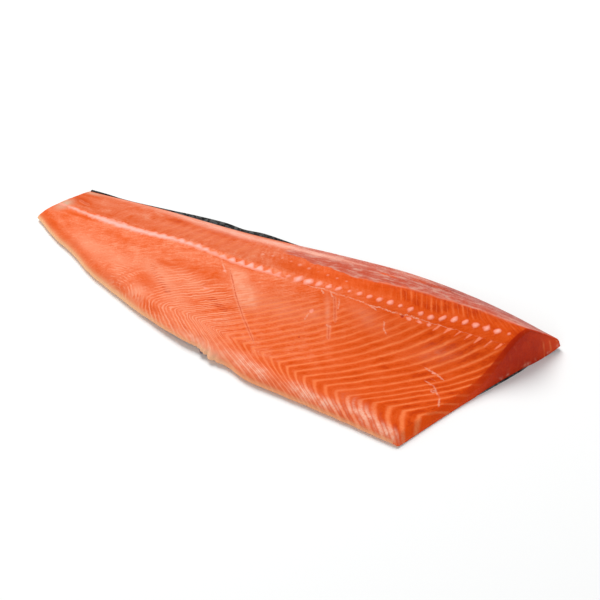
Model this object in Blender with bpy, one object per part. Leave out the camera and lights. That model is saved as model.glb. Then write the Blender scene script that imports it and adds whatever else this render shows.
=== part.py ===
"""A whole side of raw salmon lying skin side down: the flesh, and the skin under it.

Metres, +Z up. +X points to the head end, +Y to the back of the fish, and the flat of the skin is at Z = 0.
A station s runs from 0 at the tail cut to 1 at the head cut. Across a station, t runs from 0 at the belly
edge to 1 at the back edge.
"""

import math

import bmesh
import bpy
from mathutils import Vector

# Plan outline of the flesh: (s, x, y) of the belly edge and of the back edge.
BELLY_EDGE = (
    (0.00, -0.290, -0.0170),
    (0.09, -0.254, -0.0372),
    (0.17, -0.216, -0.0540),
    (0.22, -0.190, -0.0688),
    (0.28, -0.160, -0.0806),
    (0.40, -0.100, -0.1020),
    (0.50, -0.050, -0.1155),
    (0.54, -0.026, -0.1170),
    (0.59, 0.004, -0.1265),
    (0.63, 0.025, -0.1335),
    (0.72, 0.068, -0.1365),
    (0.86, 0.128, -0.1405),
    (1.00, 0.184, -0.1455),
)
BACK_EDGE = (
    (0.00, -0.262, 0.0400),
    (0.18, -0.170, 0.0465),
    (0.36, -0.070, 0.0490),
    (0.55, 0.040, 0.0550),
    (0.75, 0.150, 0.0540),
    (0.90, 0.222, 0.0480),
    (1.00, 0.276, 0.0380),
)

# Heights of the cut side, (s, metres): the flat belly flap, the loin's ridge and the back edge.
FLAP_HEIGHT = ((0.0, 0.0040), (0.08, 0.0085), (0.2, 0.0110), (0.45, 0.0120), (0.7, 0.0110), (1.0, 0.0085))
LOIN_HEIGHT = ((0.0, 0.0116), (0.2, 0.0164), (0.45, 0.0250), (0.7, 0.0326), (0.85, 0.0346), (1.0, 0.0370))
BACK_HEIGHT = (
    (0.0, 0.0095),
    (0.3, 0.0110),
    (0.42, 0.0126),
    (0.55, 0.0160),
    (0.68, 0.0200),
    (0.82, 0.0175),
    (1.0, 0.0110),
)
# Where the ridge lies, and how far the loin slopes down towards the flap, (s, metres).
RIDGE_Y = ((0.0, 0.010), (0.3, 0.006), (0.55, 0.008), (0.8, 0.014), (1.0, 0.012))
SLOPE_WIDTH = ((0.0, 0.045), (0.45, 0.060), (0.7, 0.052), (1.0, 0.044))
BACK_ROUNDNESS = 1.8  # exponent of the flank that falls from the ridge to the back edge
BELLY_ROUNDING = 0.013  # width of the belly edge's rounding
BELLY_WALL = 0.12  # share of the belly edge's thickness that stands upright

# The skin, which lies flat in the middle and turns up along the back and, a little, along the belly.
SKIN_THICKNESS = 0.0011
SKIN_GAP = 0.0003
BACK_CURL_WIDTH = 0.032
BACK_CURL = ((0.0, 0.0050), (0.3, 0.0085), (0.55, 0.0105), (0.8, 0.0080), (1.0, 0.0030))
BELLY_CURL_WIDTH = 0.036
BELLY_CURL = ((0.0, 0.0010), (0.3, 0.0005), (0.42, 0.0020), (0.5, 0.0042), (0.6, 0.0012), (1.0, 0.0004))
# How far the skin stands out past the flesh, (s, metres).
BACK_OVERHANG = (
    (0.0, 0.0034),
    (0.08, 0.0020),
    (0.15, 0.0026),
    (0.24, 0.0050),
    (0.31, 0.0054),
    (0.35, 0.0038),
    (0.39, 0.0046),
    (0.47, 0.0014),
    (0.6, 0.0010),
    (1.0, 0.0008),
)
BELLY_OVERHANG = 0.0003
TAIL_OVERHANG = 0.0005
# The same past the head cut, (t, metres).
HEAD_OVERHANG = ((0.0, 0.0003), (0.35, 0.0005), (0.5, 0.0016), (0.8, 0.0018), (0.9, 0.0005), (1.0, 0.0004))

# The two knife cuts lean, and the head cut is hollow in plan.
HEAD_LEAN = math.tan(math.radians(20.0))
TAIL_LEAN = math.tan(math.radians(14.0))
HEAD_HOLLOW = 0.0035
END_SHARE = 0.2  # share of the length over which the lean and the hollow fade in

STATIONS = 40
ACROSS = 20

FLESH_COLOUR = (0.80, 0.20, 0.06, 1.0)
SKIN_COLOUR = (0.12, 0.13, 0.13, 1.0)


def along(knots, s, column=1):
    """The smooth curve through the knots, read at s: cubic spans whose slopes come from their neighbours."""
    span = max(i for i in range(len(knots) - 1) if s >= knots[i][0] or i == 0)
    low, high = knots[span], knots[span + 1]
    before = knots[span - 1] if span > 0 else low
    after = knots[span + 2] if span + 2 < len(knots) else high
    width = high[0] - low[0]
    u = (s - low[0]) / width
    slope_low = (high[column] - before[column]) / (high[0] - before[0]) * width
    slope_high = (after[column] - low[column]) / (after[0] - low[0]) * width
    return (
        low[column] * (1 + 2 * u) * (1 - u) ** 2
        + slope_low * u * (1 - u) ** 2
        + high[column] * u * u * (3 - 2 * u)
        - slope_high * u * u * (1 - u)
    )


def fade(s, start, end):
    """0 at start and 1 at end, with a smooth change between them."""
    u = min(max((s - start) / (end - start), 0.0), 1.0)
    return u * u * (3 - 2 * u)


def station(s):
    """Ends of the station's line in plan: its point on the belly edge and the one on the back edge."""
    belly = Vector((along(BELLY_EDGE, s), along(BELLY_EDGE, s, 2)))
    back = Vector((along(BACK_EDGE, s), along(BACK_EDGE, s, 2)))
    return belly, back


def underside(s, belly_distance, back_distance):
    """Height of the skin's outer face. The distances run inwards from the flesh's two edges."""
    back_turn = max(1 - back_distance / BACK_CURL_WIDTH, 0.0)
    belly_turn = max(1 - belly_distance / BELLY_CURL_WIDTH, 0.0)
    return along(BACK_CURL, s) * back_turn**2 + along(BELLY_CURL, s) * belly_turn**2


def cut_side(s, y, back_y):
    """Height of the flesh's upper face at y, before the belly edge is rounded."""
    ridge, loin = along(RIDGE_Y, s), along(LOIN_HEIGHT, s)
    if y < ridge:
        flap = along(FLAP_HEIGHT, s)
        return flap + (loin - flap) * math.exp(-(((ridge - y) / along(SLOPE_WIDTH, s)) ** 2))
    down = min((y - ridge) / (back_y - ridge), 1.0)
    return loin - (loin - along(BACK_HEIGHT, s)) * down**BACK_ROUNDNESS


def place(s, t, z, past_head=0.0, past_tail=0.0):
    """The point at (s, t) with height z, with the lean and the hollow of the two cuts applied."""
    belly, back = station(s)
    x, y = belly.lerp(back, t)
    at_head, at_tail = fade(s, 1 - END_SHARE, 1.0), fade(s, END_SHARE, 0.0)
    middle = 4 * t * (1 - t)
    x += at_head * (past_head - HEAD_LEAN * z - HEAD_HOLLOW * middle)
    x += at_tail * (TAIL_LEAN * z - past_tail)
    return Vector((x, y, z))


def across():
    """Positions t over the flesh, closest together at its two edges."""
    return [(1 - math.cos(math.pi * i / ACROSS)) / 2 for i in range(ACROSS + 1)]


def flesh_rows(s):
    """The flesh's upper and lower row of points across a station."""
    belly, back = station(s)
    width = (back - belly).length
    upper, lower = [], []
    for t in across():
        bottom = underside(s, t * width, (1 - t) * width) + SKIN_THICKNESS + SKIN_GAP
        rounding = 1 - min(t * width / BELLY_ROUNDING, 1.0)
        share = BELLY_WALL + (1 - BELLY_WALL) * math.sqrt(1 - rounding**2)
        full = cut_side(s, belly.lerp(back, t).y, back.y)
        upper.append(place(s, t, bottom + (full - bottom) * share))
        lower.append(place(s, t, bottom))
    return upper, lower


def skin_rows(s):
    """The skin's inner and outer row of points across a station, out to its overhangs."""
    belly, back = station(s)
    width = (back - belly).length
    first = -BELLY_OVERHANG / width
    last = 1 + along(BACK_OVERHANG, s) / width
    inner, outer = [], []
    for share in across():
        t = first + (last - first) * share
        bottom = underside(s, t * width, (1 - t) * width)
        past_head = along(HEAD_OVERHANG, min(max(t, 0.0), 1.0))
        inner.append(place(s, t, bottom + SKIN_THICKNESS, past_head, TAIL_OVERHANG))
        outer.append(place(s, t, bottom, past_head, TAIL_OVERHANG))
    return inner, outer


def loft(name, rows, colour, roughness):
    """One closed solid through the rows of every station, with its two end faces."""
    mesh = bmesh.new()
    grid = []
    for i in range(STATIONS + 1):
        upper, lower = rows(i / STATIONS)
        grid.append([[mesh.verts.new(point) for point in row] for row in (upper, lower)])
    for near, far in zip(grid, grid[1:]):
        near_ring = near[0] + near[1][::-1]
        far_ring = far[0] + far[1][::-1]
        for i in range(len(near_ring)):
            corner = (i + 1) % len(near_ring)
            mesh.faces.new((near_ring[i], near_ring[corner], far_ring[corner], far_ring[i]))
    for upper, lower in (grid[0], grid[-1]):
        for i in range(ACROSS):
            mesh.faces.new((upper[i], upper[i + 1], lower[i + 1], lower[i]))
    bmesh.ops.recalc_face_normals(mesh, faces=mesh.faces)
    data = bpy.data.meshes.new(name)
    mesh.to_mesh(data)
    mesh.free()
    data.shade_smooth()
    data.set_sharp_from_angle(angle=math.radians(40.0))
    piece = bpy.data.objects.new(name, data)
    bpy.context.scene.collection.objects.link(piece)
    data.materials.append(finish(name, colour, roughness))
    return piece


def finish(name, colour, roughness):
    """The piece's Principled material."""
    material = bpy.data.materials.new(name)
    material.use_nodes = True
    shader = material.node_tree.nodes["Principled BSDF"]
    shader.inputs["Base Color"].default_value = colour
    shader.inputs["Roughness"].default_value = roughness
    shader.inputs["Metallic"].default_value = 0.0
    return material


def centre_on_origin(pieces):
    """Moves the meshes so that the origin is the middle of the underside of their common box."""
    corners = [vertex.co for piece in pieces for vertex in piece.data.vertices]
    low = Vector(map(min, zip(*corners)))
    high = Vector(map(max, zip(*corners)))
    shift = Vector((-(low.x + high.x) / 2, -(low.y + high.y) / 2, -low.z))
    for piece in pieces:
        for vertex in piece.data.vertices:
            vertex.co += shift


def main():
    for old in list(bpy.data.objects):
        bpy.data.objects.remove(old)
    flesh = loft("flesh", flesh_rows, FLESH_COLOUR, 0.35)
    skin = loft("skin", skin_rows, SKIN_COLOUR, 0.40)
    centre_on_origin((flesh, skin))


main()
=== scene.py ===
"""Looks of a raw salmon fillet: the wet orange flesh with its connective tissue, and the scaled skin under it.

Metres, +Z up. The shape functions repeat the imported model's: +X points to the head end, +Y to the back of the
fish. A station s runs from 0 at the tail cut to 1 at the head cut, and t from 0 at the belly edge to 1 at the
back edge. Patterns on the flesh are worked out in plan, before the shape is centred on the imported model.
"""

import math

import bmesh
import bpy
import numpy as np
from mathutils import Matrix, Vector


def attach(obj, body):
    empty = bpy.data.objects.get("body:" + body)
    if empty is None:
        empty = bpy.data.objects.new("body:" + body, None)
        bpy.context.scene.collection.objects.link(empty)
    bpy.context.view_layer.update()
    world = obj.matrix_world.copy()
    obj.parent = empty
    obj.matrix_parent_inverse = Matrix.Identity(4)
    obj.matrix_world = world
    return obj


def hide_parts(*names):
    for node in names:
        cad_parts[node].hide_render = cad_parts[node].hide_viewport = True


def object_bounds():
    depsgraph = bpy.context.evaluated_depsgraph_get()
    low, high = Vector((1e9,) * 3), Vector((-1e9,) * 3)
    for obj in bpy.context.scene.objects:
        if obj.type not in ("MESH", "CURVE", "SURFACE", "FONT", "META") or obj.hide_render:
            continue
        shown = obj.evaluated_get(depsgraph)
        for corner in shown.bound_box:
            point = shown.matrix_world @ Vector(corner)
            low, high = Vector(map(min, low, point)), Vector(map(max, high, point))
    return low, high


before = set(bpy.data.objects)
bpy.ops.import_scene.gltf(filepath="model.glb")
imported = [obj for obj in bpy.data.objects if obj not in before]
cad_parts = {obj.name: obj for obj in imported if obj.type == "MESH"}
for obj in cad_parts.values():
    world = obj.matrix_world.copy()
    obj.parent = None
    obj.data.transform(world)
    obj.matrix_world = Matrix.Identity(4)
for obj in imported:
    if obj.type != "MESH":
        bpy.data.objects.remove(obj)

CAD_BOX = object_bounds()

# ---- Shape of the fillet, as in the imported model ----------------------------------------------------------

BELLY_EDGE = (
    (0.00, -0.290, -0.0170),
    (0.09, -0.254, -0.0372),
    (0.17, -0.216, -0.0540),
    (0.22, -0.190, -0.0688),
    (0.28, -0.160, -0.0806),
    (0.40, -0.100, -0.1020),
    (0.50, -0.050, -0.1155),
    (0.54, -0.026, -0.1170),
    (0.59, 0.004, -0.1265),
    (0.63, 0.025, -0.1335),
    (0.72, 0.068, -0.1365),
    (0.86, 0.128, -0.1405),
    (1.00, 0.184, -0.1455),
)
BACK_EDGE = (
    (0.00, -0.262, 0.0400),
    (0.18, -0.170, 0.0465),
    (0.36, -0.070, 0.0490),
    (0.55, 0.040, 0.0550),
    (0.75, 0.150, 0.0540),
    (0.90, 0.222, 0.0480),
    (1.00, 0.276, 0.0380),
)
FLAP_HEIGHT = ((0.0, 0.0040), (0.08, 0.0085), (0.2, 0.0110), (0.45, 0.0120), (0.7, 0.0110), (1.0, 0.0085))
LOIN_HEIGHT = ((0.0, 0.0116), (0.2, 0.0164), (0.45, 0.0250), (0.7, 0.0326), (0.85, 0.0346), (1.0, 0.0370))
BACK_HEIGHT = (
    (0.0, 0.0095),
    (0.3, 0.0110),
    (0.42, 0.0126),
    (0.55, 0.0160),
    (0.68, 0.0200),
    (0.82, 0.0175),
    (1.0, 0.0110),
)
RIDGE_Y = ((0.0, 0.010), (0.3, 0.006), (0.55, 0.008), (0.8, 0.014), (1.0, 0.012))
SLOPE_WIDTH = ((0.0, 0.045), (0.45, 0.060), (0.7, 0.052), (1.0, 0.044))
BACK_ROUNDNESS = 1.8
HEAD_FLATTENING = 0.7
BELLY_ROUNDING = 0.013
BELLY_WALL = 0.12
SKIN_THICKNESS = 0.0011
SKIN_GAP = 0.0003
BACK_CURL_WIDTH = 0.032
BACK_CURL = ((0.0, 0.0050), (0.3, 0.0085), (0.55, 0.0105), (0.8, 0.0080), (1.0, 0.0030))
BELLY_CURL_WIDTH = 0.036
BELLY_CURL = ((0.0, 0.0010), (0.3, 0.0005), (0.42, 0.0020), (0.5, 0.0042), (0.6, 0.0012), (1.0, 0.0004))
BACK_OVERHANG = (
    (0.0, 0.0030),
    (0.08, 0.0014),
    (0.15, 0.0019),
    (0.24, 0.0044),
    (0.31, 0.0054),
    (0.35, 0.0038),
    (0.39, 0.0046),
    (0.47, 0.0014),
    (0.6, 0.0010),
    (1.0, 0.0008),
)
# The belly flap droops over the skin's edge, which draws back from it; one tongue of skin sticks out.
BELLY_OVERHANG = ((0.0, -0.0022), (0.526, -0.0022), (0.536, 0.0050), (0.541, 0.0058), (0.549, -0.0022), (1.0, -0.0022))
TAIL_OVERHANG = 0.0005
HEAD_OVERHANG = (
    (0.0, -0.0016),
    (0.44, -0.0016),
    (0.54, 0.0004),
    (0.75, 0.0007),
    (0.83, -0.0014),
    (1.0, -0.0014),
)
PACKED_HEAD_OVERHANG = 0.0004  # at the back corner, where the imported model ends
HEAD_LEAN = math.tan(math.radians(20.0))
TAIL_LEAN = math.tan(math.radians(14.0))
HEAD_HOLLOW = 0.0035
END_SHARE = 0.2

# ---- Fineness of the meshes -------------------------------------------------------------------------------

FLESH_STATIONS = 545
FLESH_ACROSS = 150
WALL_ROWS = 4
HEAD_ROWS = 22
TAIL_ROWS = 8
SKIN_STATIONS = 420
SKIN_ACROSS = 96

# ---- Pattern of the flesh, (x, value) in plan -------------------------------------------------------------

# The line where the spine lay. The sheets of connective tissue below it are chevrons that point to the tail.
SPINE_Y = (
    (-0.275, 0.0050),
    (-0.250, 0.0018),
    (-0.215, -0.0011),
    (-0.180, -0.0029),
    (-0.150, -0.0032),
    (-0.122, -0.0024),
    (-0.095, -0.0037),
    (-0.060, -0.0071),
    (0.005, -0.0090),
    (0.045, -0.0076),
    (0.095, -0.0052),
    (0.140, -0.0052),
    (0.160, -0.0066),
    (0.178, -0.0018),
    (0.225, -0.0007),
    (0.260, 0.0005),
)
VERTEBRA = 0.01066
FIRST_VERTEBRA = -0.0553
APEX_Y = (
    (-0.16, -0.0745),
    (-0.10, -0.0865),
    (-0.058, -0.0885),
    (-0.028, -0.0950),
    (0.007, -0.1000),
    (0.027, -0.1023),
    (0.057, -0.1087),
    (0.077, -0.1127),
    (0.100, -0.1146),
    (0.122, -0.1170),
    (0.148, -0.1132),
    (0.189, -0.1096),
)
APEX_COUNT = (
    (-0.30, -22.0),
    (-0.16, -11.0),
    (-0.0553, -3.0),
    (-0.0258, 0.0),
    (0.0277, 5.0),
    (0.0766, 10.0),
    (0.1109, 13.0),
    (0.1476, 16.0),
    (0.1886, 19.0),
    (0.30, 28.0),
)
APEX_ROUNDING = ((-0.16, 0.022), (-0.11, 0.009), (-0.075, 0.0022), (-0.04, 0.0008), (0.0, 0.0005), (0.2, 0.0004))
UPPER_RUN = ((-0.16, 1.90), (-0.10, 1.81), (-0.045, 1.54), (0.0, 1.40), (0.05, 1.31), (0.09, 1.38), (0.165, 1.28), (0.19, 1.01))
UPPER_BEND = ((-0.16, 3.1), (0.05, 3.6), (0.19, 3.1))
LOWER_RUN = ((-0.16, 1.2), (-0.06, 1.2), (-0.02, 1.4), (0.03, 0.75), (0.08, 0.26), (0.12, 0.20), (0.15, 0.08), (0.19, 0.25))
LOWER_BEND = ((-0.16, 8.0), (-0.02, 8.0), (0.03, 22.0), (0.08, 33.0), (0.12, 30.0), (0.15, 21.0), (0.19, 0.0))
# How far the lines of the back side run to the tail for each metre that they rise.
BACK_RUN = ((-0.29, -0.35), (-0.12, -0.35), (-0.06, -0.15), (-0.03, 0.1), (0.05, 0.35), (0.12, 0.42), (0.18, 0.55), (0.21, 1.15))
# What the count of the lines of the back side takes up, so that it meets the chevrons' count at the spine.
BACK_COUNT = (
    (-0.27, -1.9),
    (-0.25, -3.7),
    (-0.21, -7.4),
    (-0.15, -8.1),
    (-0.09, -8.9),
    (-0.05, -10.0),
    (-0.01, -11.9),
    (0.03, -13.4),
    (0.09, -14.0),
    (0.25, -14.0),
)
LINES_START_Y = ((-0.12, -0.040), (-0.05, -0.040), (0.0, -0.030), (0.06, -0.020), (0.12, -0.014), (0.2, -0.011))

# Pale marks of the spine line: a band with a straight lower edge and a toothed upper one, then separate dots.
BAND_DROP = (
    (-0.278, 0.0008),
    (-0.262, 0.0015),
    (-0.240, 0.0023),
    (-0.215, 0.0033),
    (-0.195, 0.0037),
    (-0.160, 0.0030),
    (-0.140, 0.0025),
    (-0.100, 0.0026),
    (-0.075, 0.0032),
    (-0.055, 0.0044),
    (-0.034, 0.0046),
    (0.010, 0.0044),
)
BAND_WIDTH = (
    (-0.280, 0.0000),
    (-0.262, 0.0030),
    (-0.240, 0.0046),
    (-0.195, 0.0074),
    (-0.160, 0.0058),
    (-0.140, 0.0048),
    (-0.100, 0.0042),
    (-0.075, 0.0026),
    (-0.030, 0.0018),
    (-0.004, 0.0012),
    (0.012, -0.0016),
)
TOOTH_HEIGHT = (
    (-0.175, 0.0),
    (-0.140, 0.0016),
    (-0.098, 0.0030),
    (-0.076, 0.0020),
    (-0.055, 0.0050),
    (-0.034, 0.0070),
    (-0.013, 0.0054),
    (-0.006, 0.0030),
    (0.004, 0.0),
)
FIRST_DOT = 5
DOT_SIZES = (
    (0.80, 0.60, 1.60, 1.75, 1.20, 1.05, 0.95, 0.50, 1.00, 0.85, 1.00, 1.05)
    + (0.60, 0.90, 0.90, 1.00, 1.05, 1.10, 1.00, 1.05, 1.20, 1.05, 0.40, 0.35)
)
DOT_RADIUS = 0.0027
DOT_LEAN = 0.3
# Short dashes that hang from the pin-bone line near the head end.
FIRST_DASH = (0.1690, -0.0118)
DASH_PITCH = 0.0101
DASH_COUNT = 7
DASH_LEAN = 0.64
DASH_LENGTH = 0.0062
DASH_RADIUS = 0.0013
FAINT_ROW_RISE = ((-0.04, 0.0190), (-0.013, 0.0225), (0.012, 0.0190), (0.034, 0.0160), (0.065, 0.0120))
FAINT_ROW_RADIUS = ((-0.045, -0.001), (-0.034, 0.0012), (0.0, 0.0010), (0.012, 0.0021), (0.034, 0.0009), (0.066, 0.0010), (0.075, -0.002))
FAINT_ROW_SHIFT = 0.0030
PIN_Y = ((0.010, -0.0122), (0.04, -0.0124), (0.08, -0.0125), (0.10, -0.0137), (0.125, -0.0128), (0.15, -0.0120), (0.215, -0.0106))

WHORL = (-0.150, -0.099)
WHORL_PITCH = 0.0031
# Where the lateral line runs on the skin, (s, t).
LATERAL_T = ((0.0, 0.42), (0.3, 0.52), (0.6, 0.60), (1.0, 0.66))

# Depth of colour, from 0 for the pale pink of the tail to 1 for the deep orange of the head end.
TONE = ((-0.29, 0.40), (-0.24, 0.30), (-0.18, 0.27), (-0.10, 0.28), (-0.02, 0.36), (0.04, 0.50), (0.10, 0.66), (0.15, 0.76), (0.21, 0.84), (0.27, 0.90))
FLANK_Y = ((-0.06, 0.034), (-0.010, 0.022), (0.02, 0.020), (0.06, 0.015), (0.09, 0.0165), (0.12, 0.0195), (0.19, 0.0195), (0.21, 0.0175), (0.26, 0.0175))
FAT_BAND_Y = ((-0.25, 0.0405), (-0.16, 0.0440), (-0.10, 0.0425), (-0.06, 0.0405), (0.0, 0.0405), (0.08, 0.0425))
FAT_BAND_WIDTH = ((-0.25, 0.0022), (-0.16, 0.0040), (-0.10, 0.0074), (-0.06, 0.0070), (0.0, 0.0056), (0.08, 0.0024))

# Patches: (centre, half axes, turn in degrees, strength). Pale haze, which is partly a painted sheen of the wet
# surface, deeper colour, fat and membrane.
HAZE_AND_SHEEN_PATCHES = (
    ((-0.040, -0.026), (0.013, 0.0065), -48, 0.65),
    ((-0.018, -0.045), (0.017, 0.0100), -40, 0.80),
    ((-0.118, -0.052), (0.026, 0.0080), -27, 0.75),
    ((-0.122, -0.083), (0.012, 0.0090), -45, 0.80),
    ((-0.150, -0.078), (0.018, 0.0080), -32, 0.45),
    ((-0.205, -0.042), (0.028, 0.0100), -24, 0.60),
    ((-0.165, -0.048), (0.016, 0.0080), -15, 0.50),
    ((-0.080, -0.050), (0.030, 0.0090), -16, 0.50),
    ((-0.085, -0.072), (0.022, 0.0100), -28, 0.35),
    ((-0.045, -0.092), (0.020, 0.0080), -20, 0.35),
    ((0.018, -0.046), (0.022, 0.0120), -10, 0.35),
    ((0.050, -0.042), (0.010, 0.0070), 0, 0.35),
    ((0.098, -0.026), (0.020, 0.0080), -18, 0.30),
    ((0.175, -0.038), (0.020, 0.0080), 20, 0.25),
    ((-0.110, 0.016), (0.030, 0.0090), 0, 0.25),
    ((-0.150, 0.018), (0.016, 0.0080), 0, 0.20),
    ((-0.230, 0.026), (0.022, 0.0060), 4, 0.20),
    ((0.063, -0.034), (0.017, 0.0024), -63, 0.60),
    ((-0.055, 0.012), (0.018, 0.0080), 0, 0.25),
)
DEEP_PATCHES = (
    ((-0.080, -0.033), (0.034, 0.0080), -6, 0.30),
    ((-0.118, -0.036), (0.014, 0.0035), -5, 0.35),
    ((-0.122, -0.063), (0.016, 0.0070), -20, 0.38),
    ((-0.138, -0.090), (0.022, 0.0045), -32, 0.35),
    ((-0.143, 0.031), (0.012, 0.0050), 0, 0.40),
    ((-0.085, 0.028), (0.030, 0.0070), 0, 0.22),
    ((-0.253, 0.0185), (0.013, 0.0050), -10, 0.50),
    ((-0.240, -0.005), (0.022, 0.0025), -3, 0.40),
    ((-0.190, -0.018), (0.040, 0.0050), -8, 0.18),
    ((-0.040, -0.012), (0.030, 0.0035), 0, 0.22),
    ((0.010, 0.006), (0.040, 0.0060), 0, 0.15),
    ((0.238, -0.012), (0.006, 0.0200), -20, 0.20),
)
# Knife creases and gouges, their grooves darkened with painted shade, with pale borders, and thin pale scratches:
# points along each.
CREASES = (
    ((-0.053, -0.018), (-0.030, -0.048), (-0.012, -0.068), (0.000, -0.080), (0.017, -0.097)),
    ((0.061, -0.015), (0.066, -0.024), (0.075, -0.043)),
    ((0.070, -0.046), (0.077, -0.062)),
    ((-0.2600, 0.0195), (-0.2504, 0.0160), (-0.2425, 0.0152)),
)
SCRATCHES = (
    ((-0.067, -0.011), (-0.052, -0.027)),
    ((0.046, -0.013), (0.051, -0.017)),
    ((0.056, -0.013), (0.061, -0.018)),
    ((0.097, -0.0145), (0.107, -0.0165)),
    ((0.0670, -0.016), (0.0715, -0.029)),
    ((0.0670, -0.0465), (0.0700, -0.0480), (0.0735, -0.0465)),
    ((0.047, -0.041), (0.0455, -0.051)),
    ((0.118, -0.024), (0.120, -0.031), (0.126, -0.037)),
    ((0.171, -0.0545), (0.183, -0.0570), (0.194, -0.0605)),
    ((0.176, -0.0680), (0.187, -0.0705), (0.197, -0.0810), (0.202, -0.0960)),
    ((0.186, -0.0765), (0.191, -0.0785)),
    ((-0.036, -0.086), (-0.030, -0.082), (-0.020, -0.0775)),
    ((-0.272, 0.010), (-0.270, 0.018)),
)
# Rows of short dark strokes, like the rungs of a ladder.
LADDERS = (
    ((-0.1312, -0.0422), (-0.1146, -0.0547), (-0.0899, -0.0731)),
    ((-0.0547, -0.0585), (-0.0274, -0.0706)),
)
PALE_SPOTS = (
    ((0.139, -0.0145), (0.0030, 0.0024)),
    ((0.1495, -0.0145), (0.0032, 0.0019)),
    ((0.159, -0.0140), (0.0027, 0.0020)),
    ((0.048, -0.0385), (0.0026, 0.0030)),
    ((0.182, -0.0570), (0.0030, 0.0013)),
    ((-0.055, -0.0245), (0.0022, 0.0016)),
    ((-0.062, -0.0510), (0.0050, 0.0012)),
)
BLOOD_SPOTS = (
    ((0.132, -0.0145), (0.0022, 0.0017)),
    ((0.050, -0.0700), (0.0011, 0.0013)),
)


def along(knots, s, column=1):
    """The smooth curve through the knots, read at s: cubic spans whose slopes come from their neighbours."""
    table = np.array(knots, float)
    place, value = table[:, 0], table[:, column]
    s = np.clip(s, place[0], place[-1])
    span = np.clip(np.searchsorted(place, s, side="right") - 1, 0, len(place) - 2)
    before, after = np.maximum(span - 1, 0), np.minimum(span + 2, len(place) - 1)
    width = place[span + 1] - place[span]
    u = (s - place[span]) / width
    slope_low = (value[span + 1] - value[before]) / (place[span + 1] - place[before]) * width
    slope_high = (value[after] - value[span]) / (place[after] - place[span]) * width
    return (
        value[span] * (1 + 2 * u) * (1 - u) ** 2
        + slope_low * u * (1 - u) ** 2
        + value[span + 1] * u * u * (3 - 2 * u)
        - slope_high * u * u * (1 - u)
    )


def fade(s, start, end):
    """0 at start and 1 at end, with a smooth change between them."""
    u = np.clip((s - start) / (end - start), 0.0, 1.0)
    return u * u * (3 - 2 * u)


def near(x, centre, width):
    """A soft bump: 1 at the centre, falling off over the width."""
    return np.exp(-(((x - centre) / width) ** 2))


def noise(x, y, size, seed):
    """Smooth lumps between -1 and 1, about the given size across."""
    cells = 64
    table = np.random.default_rng(seed).uniform(-1, 1, (cells, cells))
    u, v = np.asarray(x) / size, np.asarray(y) / size
    i, j = np.floor(u).astype(int), np.floor(v).astype(int)
    p, q = u - i, v - j
    p, q = p * p * (3 - 2 * p), q * q * (3 - 2 * q)
    low = table[i % cells, j % cells] * (1 - p) + table[(i + 1) % cells, j % cells] * p
    high = table[i % cells, (j + 1) % cells] * (1 - p) + table[(i + 1) % cells, (j + 1) % cells] * p
    return low * (1 - q) + high * q


# ---- Shape functions --------------------------------------------------------------------------------------


def station(s):
    """The station's ends in plan: x and y on the belly edge, then x and y on the back edge."""
    return along(BELLY_EDGE, s), along(BELLY_EDGE, s, 2), along(BACK_EDGE, s), along(BACK_EDGE, s, 2)


def underside(s, belly_distance, back_distance):
    """Height of the skin's outer face. The distances run inwards from the flesh's two edges."""
    back_turn = np.maximum(1 - back_distance / BACK_CURL_WIDTH, 0.0)
    belly_turn = np.maximum(1 - belly_distance / BELLY_CURL_WIDTH, 0.0)
    return along(BACK_CURL, s) * back_turn**2 + along(BELLY_CURL, s) * belly_turn**2


def cut_side(s, y, back_y):
    """Height of the flesh's upper face at y, before the belly edge is rounded."""
    ridge, loin, flap = along(RIDGE_Y, s), along(LOIN_HEIGHT, s), along(FLAP_HEIGHT, s)
    belly_side = flap + (loin - flap) * np.exp(-(((ridge - y) / along(SLOPE_WIDTH, s)) ** 2))
    down = np.clip((y - ridge) / (back_y - ridge), 0.0, 1.0)
    roundness = BACK_ROUNDNESS - HEAD_FLATTENING * fade(s, 0.88, 1.0)
    back_side = loin - (loin - along(BACK_HEIGHT, s)) * down**roundness
    return np.where(y < ridge, belly_side, back_side)


def place(s, t, z, past_head=0.0, past_tail=0.0):
    """Points at (s, t) with height z, with the lean and the hollow of the two cuts applied."""
    belly_x, belly_y, back_x, back_y = station(s)
    at_head, at_tail = fade(s, 1 - END_SHARE, 1.0), fade(s, END_SHARE, 0.0)
    x = belly_x + (back_x - belly_x) * t
    x = x + at_head * (past_head - HEAD_LEAN * z - HEAD_HOLLOW * 4 * t * (1 - t))
    x = x + at_tail * (TAIL_LEAN * z - past_tail)
    return np.stack(np.broadcast_arrays(x, belly_y + (back_y - belly_y) * t, z), -1)


def width_of(s):
    belly_x, belly_y, back_x, back_y = station(s)
    return np.hypot(back_x - belly_x, back_y - belly_y)


def flesh_heights(s, t):
    """Heights of the flesh's lower and upper face."""
    width = width_of(s)
    belly_y, back_y = along(BELLY_EDGE, s, 2), along(BACK_EDGE, s, 2)
    bottom = underside(s, t * width, (1 - t) * width) + SKIN_THICKNESS + SKIN_GAP
    rounding = 1 - np.minimum(t * width / BELLY_ROUNDING, 1.0)
    share = BELLY_WALL + (1 - BELLY_WALL) * np.sqrt(1 - rounding**2)
    full = cut_side(s, belly_y + (back_y - belly_y) * t, back_y)
    return bottom, bottom + (full - bottom) * share


def crowded(count, ends):
    """Positions from 0 to 1, closer together at both ends by the share given."""
    u = np.linspace(0, 1, count + 1)
    return (1 - ends) * u + ends * (1 - np.cos(math.pi * u)) / 2


# ---- Meshes -----------------------------------------------------------------------------------------------


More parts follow.
